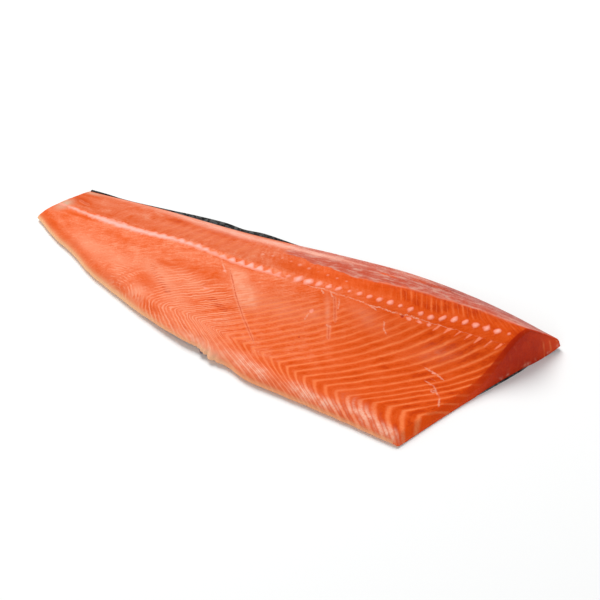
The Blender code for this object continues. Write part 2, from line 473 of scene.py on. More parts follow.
class Shell:
    """One closed mesh, put together from grids of points."""

    def __init__(self):
        self.points = []
        self.faces = []
        self.count = 0

    def add(self, points):
        """Adds points and gives their indices in the same layout."""
        flat = points.reshape(-1, 3)
        index = np.arange(self.count, self.count + len(flat)).reshape(points.shape[:-1])
        self.points.append(flat)
        self.count += len(flat)
        return index

    def patch(self, grid):
        """Quads between the neighbours in a grid of indices."""
        corners = (grid[:-1, :-1], grid[1:, :-1], grid[1:, 1:], grid[:-1, 1:])
        self.faces.extend(np.stack(corners, -1).reshape(-1, 4).tolist())

    def join(self, one, other):
        """Triangles between two rows of indices that hold different numbers of points."""
        i = j = 0
        while i < len(one) - 1 or j < len(other) - 1:
            ahead_i = (i + 1) / (len(one) - 1) if i < len(one) - 1 else 2.0
            ahead_j = (j + 1) / (len(other) - 1) if j < len(other) - 1 else 2.0
            if ahead_i <= ahead_j:
                self.faces.append([int(one[i]), int(one[i + 1]), int(other[j])])
                i += 1
            else:
                self.faces.append([int(one[i]), int(other[j + 1]), int(other[j])])
                j += 1

    def all_points(self):
        return np.concatenate(self.points)

    def piece(self, name, points, fields=None, sharp=50.0):
        """The Blender object, with each field stored on its points."""
        data = bpy.data.meshes.new(name)
        data.from_pydata(points.tolist(), [], self.faces)
        mesh = bmesh.new()
        mesh.from_mesh(data)
        bmesh.ops.recalc_face_normals(mesh, faces=mesh.faces)
        mesh.to_mesh(data)
        mesh.free()
        data.shade_smooth()
        data.set_sharp_from_angle(angle=math.radians(sharp))
        for field, values in (fields or {}).items():
            layer = data.attributes.new(field, "FLOAT", "POINT")
            layer.data.foreach_set("value", np.asarray(values, np.float32))
        made = bpy.data.objects.new(name, data)
        bpy.context.scene.collection.objects.link(made)
        return made


def close_below(shell, boundary, inner):
    """Joins a loop of four rows of indices, corner to corner, to the edges of a coarser grid."""
    shell.patch(inner)
    for row, edge in zip(boundary, (inner[:, 0], inner[-1, :], inner[::-1, -1], inner[0, ::-1])):
        shell.join(row, edge)


def end_face(shell, top, belly_side, back_side, rows, points_at, add):
    """A cut end between the top row and a new bottom row. The sides run from the top down. Gives the bottom row."""
    shares = np.linspace(1, 0, rows + 2)[1:]
    inner = add(points_at(shares))
    columns = np.concatenate([top[None, 1:-1], inner], 0)
    shell.patch(columns)
    shell.join(belly_side, columns[:, 0])
    shell.join(back_side, columns[:, -1])
    return np.concatenate([belly_side[-1:], inner[-1], back_side[-1:]])


def normals_of(grid):
    """Unit normals of a grid of points, pointing up."""
    down, over = np.gradient(grid, axis=0), np.gradient(grid, axis=1)
    normal = np.cross(down, over)
    return normal / np.linalg.norm(normal, axis=-1, keepdims=True)


# ---- Pattern of the flesh ---------------------------------------------------------------------------------


def belly_septa(x, y):
    """Number of the chevron through each point below the spine: whole numbers lie on the pale lines."""
    apex = np.array(x, float)
    for _ in range(16):
        rise = y - along(APEX_Y, apex)
        rounding = along(APEX_ROUNDING, apex)
        reach = np.sqrt(rise**2 + rounding**2)
        far = reach - rounding
        upper = along(UPPER_RUN, apex) * far - along(UPPER_BEND, apex) * far**2 / 2
        lower = along(LOWER_RUN, apex) * far + along(LOWER_BEND, apex) * far**2
        above = 0.5 + 0.5 * rise / reach
        apex = 0.5 * apex + 0.5 * (x - above * upper - (1 - above) * lower)
    return along(APEX_COUNT, apex)


def back_septa(x, y):
    """The same for the side of the back, where the lines lean to the tail as they leave the spine."""
    rise = y - along(SPINE_Y, x)
    foot = x + rise * along(BACK_RUN, x)
    return (foot - FIRST_VERTEBRA) / VERTEBRA + along(BACK_COUNT, x)


def blob(x, y, centre, size, turn=0.0):
    """A soft oval patch: 1 in the middle, with its two half axes and the angle of the first from +X."""
    dx, dy = x - centre[0], y - centre[1]
    c, d = math.cos(math.radians(turn)), math.sin(math.radians(turn))
    return np.exp(-(((dx * c + dy * d) / size[0]) ** 2) - ((dy * c - dx * d) / size[1]) ** 2)


def patches(x, y, table):
    """The patches of a table, added up."""
    return sum(strength * blob(x, y, centre, size, turn) for centre, size, turn, strength in table)


def depth_inside(x, y, ovals):
    """1 in the middle of the nearest oval, 0 on its edge and negative outside."""
    depths = [1 - np.hypot((x - centre[0]) / size[0], (y - centre[1]) / size[1]) for centre, size in ovals]
    return np.max(depths, 0)


def across_line(x, y, points):
    """Signed distance to a line through the points, grown at both ends so that the drawn line tapers out."""
    lengths = [math.dist(a, b) for a, b in zip(points, points[1:])]
    total, passed = sum(lengths), 0.0
    best = np.full(np.shape(x), np.inf)
    signed, run = np.zeros(np.shape(x)), np.zeros(np.shape(x))
    for a, b, length in zip(points, points[1:], lengths):
        c, d = (b[0] - a[0]) / length, (b[1] - a[1]) / length
        dx, dy = x - a[0], y - a[1]
        u = np.clip(dx * c + dy * d, 0, length)
        away = np.hypot(dx - u * c, dy - u * d)
        side = np.where(dy * c - dx * d < 0, -1.0, 1.0)
        closer = away < best
        best = np.where(closer, away, best)
        signed = np.where(closer, away * side, signed)
        run = np.where(closer, (passed + u) / total, run)
        passed += length
    presence = fade(run, -0.02, 0.14) * fade(run, 1.02, 0.86)
    return signed / np.maximum(presence, 0.05)


def nearest_line(x, y, lines):
    """Signed distance to the nearest of the lines."""
    distances = np.array([across_line(x, y, points) for points in lines])
    nearest = np.argmin(np.abs(distances), 0)
    return np.take_along_axis(distances, nearest[None], 0)[0]


def spine_marks(x, y):
    """How deep a point lies inside the pale marks of the spine line; negative outside them."""
    offset = y - along(SPINE_Y, x)
    number = np.round((x - FIRST_VERTEBRA) / VERTEBRA)
    beside = np.abs(x - FIRST_VERTEBRA - number * VERTEBRA)
    ragged = (0.0008 * noise(x, y, 0.0042, 21) + 0.0006 * noise(x, y, 0.0020, 22)) * (1 + fade(x, -0.10, -0.16))
    off_centre = beside / (VERTEBRA / 2)
    rise = offset + along(BAND_DROP, x)
    top = 1.15 * along(BAND_WIDTH, x) + along(TOOTH_HEIGHT, x) * np.maximum(1 - (off_centre / 0.9) ** 1.4, 0)
    band = np.minimum(rise, top - rise) + ragged * 0.7
    sizes = np.array(DOT_SIZES)
    place_in_row = np.clip(number - FIRST_DOT, 0, len(sizes) - 1).astype(int)
    in_row = (number >= FIRST_DOT) & (number < FIRST_DOT + len(sizes))
    size = np.where(in_row, sizes[place_in_row], 0.0)
    beside = np.abs(x - FIRST_VERTEBRA - number * VERTEBRA - DOT_LEAN * offset)
    reach = (beside**1.5 + np.abs(offset * 0.95) ** 1.5) ** (1 / 1.5)
    dot = DOT_RADIUS * size - reach + ragged * 0.8 - 0.01 * (size == 0)
    return np.maximum(band, dot)


def dashes(x, y):
    """The same for the dashes, which are widest at their upper ends."""
    down = FIRST_DASH[1] - y
    run = x - FIRST_DASH[0] + down * DASH_LEAN
    number = np.clip(np.round(run / DASH_PITCH), 0, DASH_COUNT - 1)
    beside = np.abs(run - number * DASH_PITCH) * 0.84
    radius = DASH_RADIUS * (1 - 0.75 * np.clip(down / DASH_LENGTH, 0, 1)) * (1 + 0.25 * np.sin(number * 2.1))
    ends = np.minimum(down + 0.0008, DASH_LENGTH - down)
    return np.minimum(radius - beside, ends) + 0.0003 * noise(x, y, 0.002, 24)


def faint_row(x, y):
    """The same for the small, faint marks between the spine line and the back."""
    shifted = x - FIRST_VERTEBRA - FAINT_ROW_SHIFT
    beside = shifted - np.round(shifted / VERTEBRA) * VERTEBRA
    rise = y - along(SPINE_Y, x) - along(FAINT_ROW_RISE, x)
    return along(FAINT_ROW_RADIUS, x) - np.hypot(beside, rise) + 0.0004 * noise(x, y, 0.003, 23)


def pin_line(x, y):
    """Signed distance to the ragged crease that runs below the spine marks on the head half."""
    centre = along(PIN_Y, x) + 0.0008 * noise(x, x * 0, 0.006, 31) + 0.0004 * noise(x, x * 0, 0.0025, 32)
    presence = fade(x, 0.025, 0.045) * fade(x, 0.225, 0.120) * (0.8 + 0.35 * noise(x, x * 0, 0.009, 33))
    return (y - centre) / np.maximum(presence, 0.03)


def swirl(x, y):
    """Number of the fine arc through each point of the whorl near the vent, and how plainly it shows."""
    radius = np.hypot(x - WHORL[0], y - WHORL[1]) + 0.0011 * noise(x, y, 0.012, 34) + 0.0005 * noise(x, y, 0.004, 35)
    shown = blob(x, y, (-0.137, -0.076), (0.026, 0.013), -38) + 0.6 * blob(x, y, (-0.160, -0.062), (0.012, 0.008), 10)
    return radius / WHORL_PITCH, np.minimum(1.3 * shown, 1) * fade(radius, 0.008, 0.014)


def edge_distances(s, t):
    width = width_of(s)
    return t * width, (1 - t) * width


def flesh_fields(x, y, belly_far, back_far):
    """The values that the flesh's material reads at each point, from its place in plan and its distance to the
    belly edge. The distance to the back edge, back_far, is not used."""
    above = y - along(SPINE_Y, x)
    below_spine = above < 0
    rough = 1 + 1.4 * fade(x, -0.02, -0.07)
    wander = (0.05 * noise(x, y, 0.022, 3) + 0.04 * noise(x, y, 0.007, 4) + 0.02 * noise(x, y, 0.0028, 14)) * rough
    belly_share = fade(above, 0.0010, -0.0050)
    septa = belly_septa(x, y) * belly_share + back_septa(x, y) * (1 - belly_share) + wander
    under_apex = fade(y - along(APEX_Y, x), 0.004, -0.004)

    smooth = blob(x, y, (0.098, -0.034), (0.024, 0.014), -15) + blob(x, y, (-0.020, -0.040), (0.022, 0.012), -40)
    shown = fade(x, -0.100, -0.045) * fade(y - along(LINES_START_Y, x), 0.004, -0.014)
    uneven = 0.85 + 0.30 * noise(x, y, 0.016, 5) + 0.15 * noise(x, y, 0.006, 6)
    belly_gain = shown * (1 - 0.6 * np.minimum(smooth, 1)) * uneven
    shading = fade(x, 0.09, 0.13) * fade(above, 0.0035, 0.008) * fade(above, 0.028, 0.018)
    hatching = 0.35 * fade(x, -0.17, -0.14) * fade(x, -0.02, -0.05) * fade(above, 0.008, 0.014) * fade(above, 0.040, 0.030)
    back_gain = 0.75 * shading * (0.7 + 0.5 * noise(x, y, 0.012, 10)) + hatching
    gain = np.where(below_spine, belly_gain, back_gain)
    broad = 1 + 0.30 * under_apex * fade(x, -0.02, 0.06) + 0.35 * under_apex * fade(belly_far, 0.020, 0.008)
    broad = np.where(below_spine, broad, 0.8 + 0.8 * fade(x, 0.0, -0.05))

    fine = fade(x, -0.130, -0.095) * fade(x, -0.002, -0.030) * fade(above, -0.026, -0.042)
    arc, arc_gain = swirl(x, y)

    tone = along(TONE, x) + patches(x, y, DEEP_PATCHES)
    tone = tone + 0.07 * noise(x * 0.45, y, 0.013, 7) + 0.05 * noise(x * 0.5, y, 0.005, 8)
    tone = tone + 0.26 * fade(belly_far, 0.013, 0.005) * fade(x, -0.155, -0.185)
    tone = tone + 0.14 * fade(above, 0.004, 0.010) * fade(x, -0.05, 0.06) * fade(x, 0.22, 0.14)
    tone = tone + 0.14 * fade(above, 0.0, 0.008) * fade(x, 0.0, -0.10)
    tone = tone + 0.34 * near(belly_far, 0.007, 0.005) * fade(x, -0.175, -0.155) * fade(x, -0.075, -0.100)

    # The back side is duller, and so is the far side of the flank.
    shade = fade(above, 0.002, 0.007) * fade(x, 0.05, -0.03) * fade(x, -0.285, -0.262)
    shade = shade + fade(x, 0.10, 0.16) * (0.45 + 0.55 * fade(y - along(FLANK_Y, x), 0.008, 0.020)) * fade(above, 0.006, 0.016)

    # Pale haze, partly a painted sheen of the wet surface.
    haze_and_sheen = patches(x, y, HAZE_AND_SHEEN_PATCHES) + 0.25 * fade(belly_far, 0.030, 0.012) * fade(x, -0.12, -0.08) * fade(x, -0.01, -0.03)

    # Beside the long knife crease, a pale patch with a sharp edge along it: a painted sheen of the wet surface.
    beside = across_line(x, y, CREASES[0])
    sheen_patch = fade(beside, 0.0004, 0.0016) * fade(beside, 0.018, 0.012) * fade(y, -0.060, -0.052) * fade(y, -0.016, -0.022)
    haze_and_sheen = haze_and_sheen + 0.70 * sheen_patch * (0.8 + 0.4 * noise(x, y, 0.006, 9))

    # The silvery-brown membrane over the flank, beyond the ridge of the loin.
    beyond = y - along(FLANK_Y, x)
    flank = fade(beyond + 0.0022 * noise(x, y, 0.010, 11) + 0.0010 * noise(x, y, 0.003, 13), -0.003, 0.005)
    flank = flank * fade(x, -0.035, 0.012)
    bare = blob(x, y, (0.145, 0.041), (0.034, 0.0075), -3) + 0.7 * blob(x, y, (0.095, 0.034), (0.020, 0.0050), 4)
    flank = flank * (1 - 0.85 * np.minimum(bare, 1)) * fade(x, 0.268, 0.250)
    grey = 1.1 * blob(x, y, (-0.2695, 0.0060), (0.0065, 0.0095), -20) + 0.7 * blob(x, y, (-0.256, 0.0368), (0.0150, 0.0030), 4)
    grey = grey + 1.3 * blob(x, y, (-0.019, -0.1205), (0.0120, 0.0040), -12)

    # Pale fat: along the back edge of the tail half, at the ridge of the head half and in the belly flap.
    band = 0.45 * fade(x, -0.262, -0.225) + 0.55 * fade(x, -0.19, -0.11)
    band = band * fade(x, 0.095, 0.02) * near(y, along(FAT_BAND_Y, x), along(FAT_BAND_WIDTH, x))
    ridge_fat = 0.40 * fade(x, 0.05, 0.11) * fade(x, 0.255, 0.235) * near(beyond, 0.0005, 0.0014)
    rim = 0.45 * blob(x, y, (0.122, 0.050), (0.020, 0.0045))
    flap = 0.95 * blob(x, y, (0.024, -0.1225), (0.028, 0.0060), -14) + 0.95 * blob(x, y, (0.081, -0.129), (0.012, 0.0055), -12)
    flap = flap + 0.90 * blob(x, y, (0.141, -0.1290), (0.018, 0.0070), -24) + 0.80 * blob(x, y, (0.108, -0.1325), (0.020, 0.0050), -4)
    flap = flap + 0.90 * blob(x, y, (0.172, -0.1385), (0.013, 0.0045), -12) + 0.60 * blob(x, y, (-0.038, -0.1130), (0.022, 0.0030), -8)
    flap = 1.15 * flap * (0.80 + 0.45 * noise(x, y, 0.005, 12))
    faint = 0.55 * fade(faint_row(x, y), -0.0006, 0.0006)
    # The belly edge is painted pale: partly a rim of pale fat, partly painted light where the rounded edge slopes away
    # from the key light.
    edge = 0.35 * near(belly_far, 0.0, 0.0030) * fade(x, -0.06, -0.14) + 0.60 * near(belly_far, 0.0, 0.0014)
    fat = np.maximum(flap, 0) * below_spine
    pale_rim = 0.95 * band + ridge_fat + rim + faint
    mm = 1000.0
    return {
        "septa": septa,
        "gain": np.clip(gain, 0, 1.3),
        "broad": broad,
        "double": np.where(below_spine, 0.0, shading),
        "fine": fine,
        "arc": arc,
        "arc_gain": arc_gain,
        "pale": np.clip(spine_marks(x, y) * mm, -12, 12),
        "dash": np.clip(dashes(x, y) * mm, -12, 12),
        "pin": np.clip(pin_line(x, y) * mm, -60, 60),
        "tone": tone,
        "haze_and_sheen": np.clip(haze_and_sheen, 0, 1),
        "flank": np.clip(flank, 0, 1),
        "grey": np.clip(grey, 0, 1),
        "fat": np.clip(fat, 0, 1),
        "rim": np.clip(pale_rim, 0, 1),
        "edge": np.clip(edge, 0, 1),
        "shade": np.clip(shade, 0, 1),
        "far": fade(beyond, 0.008, 0.020) * fade(x, 0.10, 0.15) * fade(x, 0.275, 0.255),
        "spots": np.maximum(depth_inside(x, y, PALE_SPOTS), -2),
        "blood": np.maximum(depth_inside(x, y, BLOOD_SPOTS), -2),
        "ladder": fade(np.abs(nearest_line(x, y, LADDERS)), 0.0048, 0.0016),
        "crease": np.clip(nearest_line(x, y, CREASES) * mm, -60, 60),
        "scratch": np.clip(nearest_line(x, y, SCRATCHES) * mm, -60, 60),
        "cut": np.zeros(np.shape(x)),
    }


def flesh_relief(x, y, f, belly_far, back_far):
    """How far the cut face stands proud, in metres."""
    off = np.abs(f["septa"] - np.round(f["septa"]))
    groove = np.exp(-((off / (0.09 * f["broad"])) ** 2)) * np.minimum(f["gain"], 1)
    inside = fade(belly_far, 0.0, 0.006) * fade(back_far, 0.0, 0.004)
    lumps = 0.00045 * noise(x, y, 0.034, 41) + 0.00024 * noise(x * 0.7, y, 0.011, 42)
    lumps = lumps + 0.00012 * noise(x * 0.6, y, 0.0045, 43) + 0.00006 * noise(x, y, 0.0022, 44)
    height = lumps - 0.00016 * groove
    height = height + 0.00035 * fade(f["pale"], -0.8, 0.8)
    height = height - 0.00028 * np.exp(-((f["crease"] / 1.0) ** 2)) + 0.00014 * np.exp(-(((np.abs(f["crease"]) - 2.2) / 1.1) ** 2))
    height = height - 0.00035 * np.exp(-((f["pin"] / 0.9) ** 2))
    height = height + 0.00020 * np.exp(-((f["scratch"] / 0.8) ** 2))
    arcs = np.abs(f["arc"] - np.round(f["arc"]))
    height = height + 0.00010 * np.exp(-((arcs / 0.2) ** 2)) * f["arc_gain"]
    streaks = noise(x * 3.0 + y * 2.0, y * 0.5, 0.012, 45)
    height = height + 0.00030 * f["flank"] * streaks
    height = height + 0.00030 * f["fat"] * noise(x, y, 0.003, 46)
    height = height - 0.00050 * fade(f["blood"], -0.3, 0.6)
    return height * inside


# ---- Materials --------------------------------------------------------------------------------------------


def tint(red, green, blue):
    """A linear colour from its 0 to 255 display values."""
    def linear(value):
        value /= 255
        return value / 12.92 if value <= 0.04045 else ((value + 0.055) / 1.055) ** 2.4
    return (linear(red), linear(green), linear(blue), 1.0)


# Muscle by depth of colour, then the tissues on it.
MUSCLE = (
    (0.00, tint(239, 150, 114)),
    (0.28, tint(235, 121, 80)),
    (0.60, tint(226, 94, 40)),
    (0.85, tint(214, 76, 12)),
    (1.00, tint(194, 58, 4)),
)
CUT_FACE = ((0.0, tint(240, 82, 8)), (0.5, tint(216, 60, 4)), (1.0, tint(182, 38, 2)))
# Pale pink of the haze, which is partly a painted sheen of the wet surface.
HAZE_AND_SHEEN = tint(242, 156, 122)
SEPTUM = tint(243, 128, 74)
FAT = tint(244, 182, 156)
RIM_FAT = tint(240, 172, 150)
# The belly edge: partly pale fat, partly painted light that brightens the rounded edge where it faces away from the key
# light.
EDGE_FAT_AND_LIGHT = tint(255, 196, 146)
MARK = tint(248, 154, 132)
MARK_BRIGHT = tint(248, 180, 168)
DASH = tint(242, 130, 96)
# Painted shade in the grooves of the knife creases.
CREASE_SHADE = tint(206, 78, 40)
MEMBRANE = ((0.0, tint(186, 74, 50)), (0.40, tint(190, 92, 72)), (0.75, tint(194, 112, 96)), (1.0, tint(204, 142, 124)))
TAIL_GREY = tint(206, 168, 142)
BLOOD = tint(168, 34, 20)
SKIN_BY_HEIGHT = (
    (0.00, tint(240, 186, 160)),
    (0.05, tint(216, 206, 194)),
    (0.22, tint(186, 186, 180)),
    (0.42, tint(96, 102, 102)),
    (0.62, tint(52, 58, 60)),
    (0.85, tint(24, 27, 29)),
    (1.00, tint(17, 19, 20)),
)
SKIN_SPOT = tint(12, 13, 14)
TONGUE = tint(120, 104, 112)
SCALE_EDGE = tint(20, 22, 24)


class Graph:
    """A material's node tree, with a short call for each kind of node used here."""

    def __init__(self, name):
        self.material = bpy.data.materials.new(name)
        self.material.use_nodes = True
        self.tree = self.material.node_tree
        self.shader = self.tree.nodes["Principled BSDF"]

    def put(self, socket, value):
        if isinstance(value, bpy.types.NodeSocket):
            self.tree.links.new(value, socket)
        else:
            socket.default_value = value

    def set(self, **values):
        """Sets the shader's own sockets, named with underscores for spaces."""
        for name, value in values.items():
            self.put(self.shader.inputs[name.replace("_", " ")], value)

    def field(self, name):
        node = self.tree.nodes.new("ShaderNodeAttribute")
        node.attribute_name = name
        return node.outputs["Fac"]

    def place(self):
        return self.tree.nodes.new("ShaderNodeTexCoord").outputs["Object"]

    def part_of(self, vector, axis):
        node = self.tree.nodes.new("ShaderNodeSeparateXYZ")
        self.put(node.inputs[0], vector)
        return node.outputs[axis]

    def vector(self, *parts):
        node = self.tree.nodes.new("ShaderNodeCombineXYZ")
        for socket, value in zip(node.inputs, parts):
            self.put(socket, value)
        return node.outputs[0]

    def math(self, operation, a, b=0.0, c=0.0):
        node = self.tree.nodes.new("ShaderNodeMath")
        node.operation = operation
        for socket, value in zip(node.inputs, (a, b, c)):
            self.put(socket, value)
        return node.outputs[0]

    def around(self, value, amount):
        """A noise value moved to lie about 0 and scaled."""
        return self.math("MULTIPLY", self.math("SUBTRACT", value, 0.5), amount)

    def total(self, first, *others):
        for other in others:
            first = self.math("ADD", first, other)
        return first

    def step(self, value, low, high, least=0.0, most=1.0):
        """A smooth change from least to most as the value goes from low to high."""
        node = self.tree.nodes.new("ShaderNodeMapRange")
        node.interpolation_type = "SMOOTHSTEP"
        for name, number in (("Value", value), ("From Min", low), ("From Max", high), ("To Min", least), ("To Max", most)):
            self.put(node.inputs[name], number)
        return node.outputs["Result"]

    def ramp(self, value, stops):
        node = self.tree.nodes.new("ShaderNodeValToRGB")
        elements = node.color_ramp.elements
        while len(elements) < len(stops):
            elements.new(1.0)
        for element, (position, colour) in zip(elements, stops):
            element.position = position
            element.color = colour
        self.put(node.inputs[0], value)
        return node.outputs[0]

    def mix(self, share, a, b):
        node = self.tree.nodes.new("ShaderNodeMix")
        node.data_type = "RGBA"
        self.put(node.inputs[0], share)
        self.put(node.inputs[6], a)
        self.put(node.inputs[7], b)
        return node.outputs[2]

    def stretch(self, vector, factors):
        node = self.tree.nodes.new("ShaderNodeVectorMath")
        node.operation = "MULTIPLY"
        self.put(node.inputs[0], vector)
        self.put(node.inputs[1], factors)
        return node.outputs[0]

    def noise(self, vector, scale, detail=2.0, roughness=0.5):
        node = self.tree.nodes.new("ShaderNodeTexNoise")
        for name, value in (("Vector", vector), ("Scale", scale), ("Detail", detail), ("Roughness", roughness)):
            self.put(node.inputs[name], value)
        return node.outputs["Fac"]

    def cells(self, vector, scale, feature="F1"):
        """Distance to the nearest cell centre, or to the nearest cell wall, and the cell's own random value."""
        node = self.tree.nodes.new("ShaderNodeTexVoronoi")
        node.feature = feature
        self.put(node.inputs["Vector"], vector)
        self.put(node.inputs["Scale"], scale)
        return node.outputs

    def bump(self, height, distance, strength=1.0):
        node = self.tree.nodes.new("ShaderNodeBump")
        self.put(node.inputs["Height"], height)
        self.put(node.inputs["Distance"], distance)
        self.put(node.inputs["Strength"], strength)
        return node.outputs["Normal"]


def flesh_material():
    g = Graph("wet_flesh")
    where = g.place()
    septa, gain, broad = g.field("septa"), g.field("gain"), g.field("broad")
    # A frame that follows the chevrons: its first axis crosses them and its second runs along them.
    flow = g.vector(g.math("MULTIPLY", septa, VERTEBRA), g.part_of(where, 1), g.part_of(where, 2))
    speckle = g.noise(where, 560.0, 3.0, 0.6)
    fibres = g.noise(g.stretch(flow, (1.0, 0.22, 1.0)), 430.0, 3.0, 0.55)
    grain = g.noise(g.stretch(flow, (0.3, 1.0, 1.0)), 520.0, 2.0, 0.5)
    mottle = g.noise(where, 95.0, 4.0, 0.55)
    ragged = g.around(g.noise(where, 360.0, 2.0), 1.0)

    # Base colour, from the pink tail to the orange head end.
    depth = g.field("tone")
    restless = g.step(depth, 0.25, 0.80, 1.0, 0.42)
    changes = g.total(g.around(fibres, 0.85), g.around(mottle, 0.75), g.around(speckle, 0.55), g.around(grain, 0.35))
    depth = g.total(depth, g.math("MULTIPLY", changes, restless))
    # The muscle deepens away from each pale sheet.
    waver = g.math("MULTIPLY", ragged, 0.10)
    off = g.math("PINGPONG", g.math("ADD", septa, waver), 0.5)
    deeper = g.math("MULTIPLY", g.step(off, 0.08, 0.46, -0.07, 0.11), gain)
    thirds = g.math("PINGPONG", g.math("MULTIPLY", g.math("ADD", septa, waver), 3.0), 0.5)
    rungs = g.math("MULTIPLY", g.step(thirds, 0.16, 0.40, 0.0, 0.55), g.field("ladder"))
    between_fine = g.math("MULTIPLY", g.step(thirds, 0.15, 0.42, -0.04, 0.13), g.field("fine"))
    depth = g.total(depth, deeper, rungs, between_fine)
    colour = g.ramp(depth, MUSCLE)
    # Pale haze over the muscle, partly a painted sheen of the wet surface.
    haze_and_sheen = g.math("MULTIPLY", g.field("haze_and_sheen"), g.step(g.total(fibres, g.around(mottle, 0.8)), 0.36, 0.60, 0.30, 1.0))
    colour = g.mix(haze_and_sheen, colour, HAZE_AND_SHEEN)

    # Pale sheets of connective tissue.
    half = g.math("MULTIPLY", broad, 0.150)
    line = g.step(g.math("DIVIDE", off, half), 1.4, 0.1)
    between = g.math("MULTIPLY", g.step(off, 0.42, 0.50, 0.0, 0.7), g.field("double"))
    line = g.math("MAXIMUM", line, between)
    line = g.math("MULTIPLY", line, g.math("MULTIPLY", gain, g.step(speckle, 0.25, 0.6, 0.55, 1.0)))
    patchy = g.noise(g.stretch(flow, (1.0, 0.4, 1.0)), 150.0, 3.0, 0.55)
    missing = g.math("MULTIPLY", g.step(patchy, 0.56, 0.42), g.field("fine"))
    line = g.math("MULTIPLY", line, g.math("SUBTRACT", 1.0, g.math("MULTIPLY", missing, 0.85)))
    colour = g.mix(g.math("MULTIPLY", line, 0.85), colour, g.mix(g.field("fat"), SEPTUM, FAT))
    fine = g.math("MULTIPLY", g.step(thirds, 0.22, 0.06), g.field("fine"))
    arcs = g.math("MULTIPLY", g.step(g.math("PINGPONG", g.math("ADD", g.field("arc"), waver), 0.5), 0.28, 0.06), g.field("arc_gain"))
    fine = g.math("MULTIPLY", g.math("MAXIMUM", fine, arcs), g.step(patchy, 0.42, 0.58, 0.0, 0.95))
    colour = g.mix(fine, colour, HAZE_AND_SHEEN)

    # Membrane and fat.
    dull = g.stretch(colour, (0.86, 0.86, 0.88))
    colour = g.mix(g.field("shade"), colour, dull)
    strands = g.noise(g.stretch(where, (0.22, 1.0, 1.0)), 330.0, 4.0, 0.62)
    membrane = g.ramp(g.step(g.total(strands, g.around(mottle, 0.7)), 0.30, 0.72), MEMBRANE)
    covered = g.step(g.total(g.field("flank"), g.around(strands, 0.9)), 0.25, 0.65, 0.0, 0.92)
    colour = g.mix(covered, colour, membrane)
    mauve = g.stretch(colour, (0.66, 0.58, 0.70))
    colour = g.mix(g.math("MULTIPLY", g.field("far"), g.step(strands, 0.35, 0.60, 1.0, 0.25)), colour, mauve)
    grey = g.math("MULTIPLY", g.field("grey"), g.step(mottle, 0.3, 0.6, 0.6, 1.0))
    colour = g.mix(grey, colour, TAIL_GREY)
    halves = g.math("PINGPONG", g.math("MULTIPLY", g.math("ADD", septa, waver), 2.0), 0.5)
    fat = g.math("MULTIPLY", g.field("fat"), g.step(g.total(speckle, g.around(fibres, 0.8)), 0.25, 0.62, 0.40, 1.0))
    fat = g.math("MULTIPLY", fat, g.step(g.math("MINIMUM", halves, g.math("MULTIPLY", off, 1.6)), 0.40, 0.14, 0.42, 1.0))
    colour = g.mix(fat, colour, FAT)
    streaky = g.step(g.total(strands, g.around(speckle, 0.6)), 0.28, 0.60, 0.50, 1.0)
    colour = g.mix(g.math("MULTIPLY", g.field("rim"), streaky), colour, RIM_FAT)
    # Pale belly edge: partly fat, partly painted light on the rounded edge that faces away from the key light.
    colour = g.mix(g.field("edge"), colour, EDGE_FAT_AND_LIGHT)

    # Marks along the spine, spots, creases and scratches.
    marks = g.math("ADD", g.field("pale"), g.math("MULTIPLY", ragged, 1.6))
    colour = g.mix(g.step(marks, -1.2, 1.2, 0.0, 0.95), colour, MARK)
    colour = g.mix(g.step(marks, 1.0, 3.2, 0.0, 0.9), colour, MARK_BRIGHT)
    colour = g.mix(g.step(g.math("ADD", g.field("dash"), ragged), -0.5, 0.6), colour, DASH)
    spots = g.step(g.math("ADD", g.field("spots"), g.math("MULTIPLY", ragged, 1.2)), -0.1, 0.6, 0.0, 0.9)
    colour = g.mix(spots, colour, MARK)
    broken = g.step(g.total(speckle, g.around(mottle, 0.8)), 0.32, 0.60, 0.10, 0.62)
    pin = g.math("ABSOLUTE", g.math("ADD", g.field("pin"), g.math("MULTIPLY", ragged, 3.2)))
    colour = g.mix(g.math("MULTIPLY", g.step(pin, 1.3, 0.2), broken), colour, FAT)
    crease = g.math("ABSOLUTE", g.math("ADD", g.field("crease"), g.math("MULTIPLY", ragged, 1.6)))
    colour = g.mix(g.step(crease, 2.8, 1.0, 0.0, 0.30), colour, HAZE_AND_SHEEN)
    # Painted shade: the crease's groove is coloured darker.
    colour = g.mix(g.math("MULTIPLY", g.step(crease, 0.9, 0.2), g.step(broken, 0.10, 0.45, 0.20, 0.65)), colour, CREASE_SHADE)
    scratch = g.math("ABSOLUTE", g.math("ADD", g.field("scratch"), g.math("MULTIPLY", ragged, 2.2)))
    colour = g.mix(g.math("MULTIPLY", g.step(scratch, 1.4, 0.2, 0.0, 0.8), broken), colour, FAT)
    colour = g.mix(g.step(g.field("blood"), -0.2, 0.6, 0.0, 0.85), colour, BLOOD)

    # The face of the head cut, which is seen end on and so looks darker and plainer.
    face = g.ramp(g.total(g.field("cut_depth"), g.around(mottle, 0.6), g.around(speckle, 0.35)), CUT_FACE)
    face = g.mix(g.math("MULTIPLY", line, g.step(g.field("cut_depth"), 0.15, 0.45, 0.80, 0.15)), face, SEPTUM)
    face = g.mix(g.math("MULTIPLY", fat, 0.8), face, FAT)
    colour = g.mix(g.step(g.math("ADD", g.field("cut"), g.math("MULTIPLY", ragged, 0.5)), 0.2, 0.8), colour, face)

    g.set(Base_Color=colour, Roughness=g.step(fibres, 0.3, 0.7, 0.34, 0.48))
    g.set(Subsurface_Weight=0.0, Coat_Weight=0.0, Specular_IOR_Level=0.10)
    micro = g.total(g.math("MULTIPLY", speckle, 0.5), g.math("MULTIPLY", fibres, 0.8), g.math("MULTIPLY", grain, 0.5))
    g.set(Normal=g.bump(micro, 0.0005, 0.6))
    return g.material


